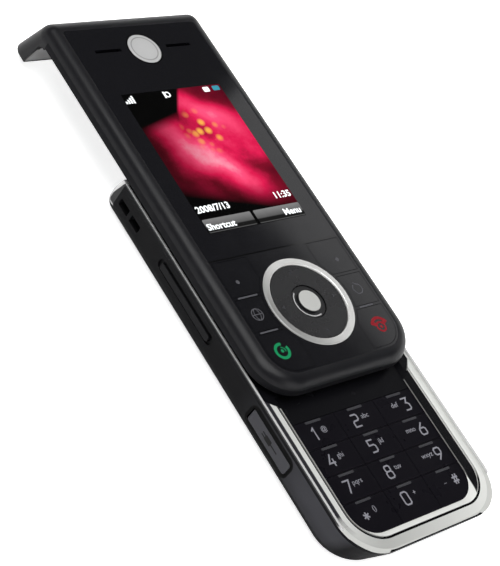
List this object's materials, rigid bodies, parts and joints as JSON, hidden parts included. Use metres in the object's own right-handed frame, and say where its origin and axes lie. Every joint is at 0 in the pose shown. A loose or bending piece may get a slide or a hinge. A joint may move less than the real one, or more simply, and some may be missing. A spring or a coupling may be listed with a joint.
{
  "type": "slider phone",
  "caption": "Slider phone: a display and function keys on a face that slides up along the base to bare a number keypad, with a lip that hooks over the upper end when closed.",
  "frame": {"origin": "middle of the flat rear face of the base, where the phone lies on its back", "axes": "+Z out of the display, +Y along the length towards the earpiece, +X to the right of the keypad"},
  "size_m": [0.0486, 0.1487, 0.0158],
  "materials": {
    "base_shell": "fine matte texture",
    "deck_black": "satin black",
    "frame_silver": "satin silver",
    "bright_trim": "polished",
    "cover_grey": "fine matte texture",
    "number_keys": "satin black with a violet tint",
    "dome_steel": "bright",
    "board_green": "lacquered",
    "battery_can": "satin",
    "contact_gold": "bright",
    "holder_steel": "stamped",
    "camera_black": "matte",
    "camera_glass": "polished",
    "motor_steel": "bright",
    "port_rubber": "matte grey",
    "side_keys": "satin grey",
    "screw_steel": "blackened",
    "slide_steel": "stamped",
    "spring_steel": "bright wire",
    "ribbon_film": "polyimide film",
    "slider_black": "high gloss black",
    "liner_grey": "satin light grey",
    "slider_back": "textured dark grey",
    "window_plastic": "hard-coated window over the display",
    "badge_silver": "satin, bare",
    "function_keys": "high gloss black",
    "nav_silver": "satin-polished",
    "carrier_plastic": "moulded",
    "display_stack": "display glass stack"
  },
  "bodies": {
    "base": {"rear_housing": "base_shell", "front_deck": "deck_black", "keypad_frame": "frame_silver", "chrome_trim": "bright_trim", "keypad_domes": "dome_steel", "main_board": "board_green", "battery": "battery_can", "battery_contacts": "contact_gold", "antenna": "contact_gold", "sim_holder": "holder_steel", "usb_socket": "holder_steel", "camera_module": "camera_black", "loudspeaker": "camera_black", "microphone": "camera_black", "camera_window": "camera_glass", "vibration_motor": "motor_steel", "side_switches": "motor_steel", "housing_screws": "screw_steel", "slide_fixed_plate": "slide_steel", "slide_springs": "spring_steel", "flex_ribbon": "ribbon_film"},
    "slider": {"front_housing": "slider_black", "lip_liner": "liner_grey", "slider_rear_cover": "slider_back", "slide_moving_plate": "slide_steel", "display_lens": "window_plastic", "key_panel": "slider_black", "badge_disc": "badge_silver", "nav_trim_ring": "nav_silver", "display_module": "display_stack", "earpiece": "carrier_plastic", "slider_board": "board_green", "slider_domes": "dome_steel", "slider_screws": "screw_steel"},
    "battery_cover": {"battery_cover": "cover_grey"},
    "port_cover": {"port_cover": "port_rubber"},
    "volume_rocker": {"volume_rocker": "side_keys"},
    "camera_key": {"camera_key": "side_keys"},
    "nav_carrier": {"nav_carrier": "carrier_plastic"},
    "nav_pad": {"nav_pad": "function_keys"},
    "select_key": {"select_key": "nav_silver"},
    "key_1": {"key_1": "number_keys"},
    "key_2": {"key_2": "number_keys"},
    "key_3": {"key_3": "number_keys"},
    "key_4": {"key_4": "number_keys"},
    "key_5": {"key_5": "number_keys"},
    "key_6": {"key_6": "number_keys"},
    "key_7": {"key_7": "number_keys"},
    "key_8": {"key_8": "number_keys"},
    "key_9": {"key_9": "number_keys"},
    "key_star": {"key_star": "number_keys"},
    "key_0": {"key_0": "number_keys"},
    "key_hash": {"key_hash": "number_keys"},
    "send_key": {"send_key": "function_keys"},
    "end_key": {"end_key": "function_keys"},
    "browser_key": {"browser_key": "function_keys"},
    "shortcut_key": {"shortcut_key": "function_keys"},
    "soft_key_left": {"soft_key_left": "function_keys"},
    "soft_key_right": {"soft_key_right": "function_keys"}
  },
  "joints": [
    {"name": "slider_slide", "type": "slide", "parent": "base", "child": "slider", "axis": [0, 1, 0], "range_m": [-0.0385, 0], "deforming": ["slide_springs", "flex_ribbon"]},
    {"name": "key_1_press", "type": "slide", "parent": "base", "child": "key_1", "axis": [0, 0, -1], "range_m": [0, 0.00025], "stiffness_N_per_m": 800},
    {"name": "key_2_press", "type": "slide", "parent": "base", "child": "key_2", "axis": [0, 0, -1], "range_m": [0, 0.00025], "stiffness_N_per_m": 800},
    {"name": "key_3_press", "type": "slide", "parent": "base", "child": "key_3", "axis": [0, 0, -1], "range_m": [0, 0.00025], "stiffness_N_per_m": 800},
    {"name": "key_4_press", "type": "slide", "parent": "base", "child": "key_4", "axis": [0, 0, -1], "range_m": [0, 0.00025], "stiffness_N_per_m": 800},
    {"name": "key_5_press", "type": "slide", "parent": "base", "child": "key_5", "axis": [0, 0, -1], "range_m": [0, 0.00025], "stiffness_N_per_m": 800},
    {"name": "key_6_press", "type": "slide", "parent": "base", "child": "key_6", "axis": [0, 0, -1], "range_m": [0, 0.00025], "stiffness_N_per_m": 800},
    {"name": "key_7_press", "type": "slide", "parent": "base", "child": "key_7", "axis": [0, 0, -1], "range_m": [0, 0.00025], "stiffness_N_per_m": 800},
    {"name": "key_8_press", "type": "slide", "parent": "base", "child": "key_8", "axis": [0, 0, -1], "range_m": [0, 0.00025], "stiffness_N_per_m": 800},
    {"name": "key_9_press", "type": "slide", "parent": "base", "child": "key_9", "axis": [0, 0, -1], "range_m": [0, 0.00025], "stiffness_N_per_m": 800},
    {"name": "key_star_press", "type": "slide", "parent": "base", "child": "key_star", "axis": [0, 0, -1], "range_m": [0, 0.00025], "stiffness_N_per_m": 800},
    {"name": "key_0_press", "type": "slide", "parent": "base", "child": "key_0", "axis": [0, 0, -1], "range_m": [0, 0.00025], "stiffness_N_per_m": 800},
    {"name": "key_hash_press", "type": "slide", "parent": "base", "child": "key_hash", "axis": [0, 0, -1], "range_m": [0, 0.00025], "stiffness_N_per_m": 800},
    {"name": "send_key_press", "type": "slide", "parent": "slider", "child": "send_key", "axis": [0, 0, -1], "range_m": [0, 0.00025], "stiffness_N_per_m": 800},
    {"name": "end_key_press", "type": "slide", "parent": "slider", "child": "end_key", "axis": [0, 0, -1], "range_m": [0, 0.00025], "stiffness_N_per_m": 800},
    {"name": "browser_key_press", "type": "slide", "parent": "slider", "child": "browser_key", "axis": [0, 0, -1], "range_m": [0, 0.00025], "stiffness_N_per_m": 800},
    {"name": "shortcut_key_press", "type": "slide", "parent": "slider", "child": "shortcut_key", "axis": [0, 0, -1], "range_m": [0, 0.00025], "stiffness_N_per_m": 800},
    {"name": "soft_key_left_press", "type": "slide", "parent": "slider", "child": "soft_key_left", "axis": [0, 0, -1], "range_m": [0, 0.00025], "stiffness_N_per_m": 800},
    {"name": "soft_key_right_press", "type": "slide", "parent": "slider", "child": "soft_key_right", "axis": [0, 0, -1], "range_m": [0, 0.00025], "stiffness_N_per_m": 800},
    {"name": "select_key_press", "type": "slide", "parent": "slider", "child": "select_key", "axis": [0, 0, -1], "range_m": [0, 0.00025], "stiffness_N_per_m": 800},
    {"name": "nav_tilt_up_down", "type": "hinge", "parent": "slider", "child": "nav_carrier", "pos_m": [0, 0.0067, 0.015], "axis": [1, 0, 0], "range_deg": [-1, 1], "stiffness_Nm_per_rad": 0.5},
    {"name": "nav_tilt_left_right", "type": "hinge", "parent": "nav_carrier", "child": "nav_pad", "pos_m": [0, 0.0067, 0.015], "axis": [0, 1, 0], "range_deg": [-1, 1], "stiffness_Nm_per_rad": 0.5},
    {"name": "volume_rock", "type": "hinge", "parent": "base", "child": "volume_rocker", "pos_m": [-0.02265, 0.0183, 0.0066], "axis": [0, 0, 1], "range_deg": [-1.5, 1.5], "stiffness_Nm_per_rad": 0.5},
    {"name": "camera_key_press", "type": "slide", "parent": "base", "child": "camera_key", "axis": [-1, 0, 0], "range_m": [0, 0.00025], "stiffness_N_per_m": 800},
    {"name": "port_cover_swing", "type": "hinge", "parent": "base", "child": "port_cover", "pos_m": [-0.02337, -0.01137, 0.0058], "axis": [0, 0, -1], "range_deg": [0, 90]},
    {"name": "battery_cover_slide", "type": "slide", "parent": "base", "child": "battery_cover", "axis": [0, -1, 0], "range_m": [0, 0.075]}
  ]
}
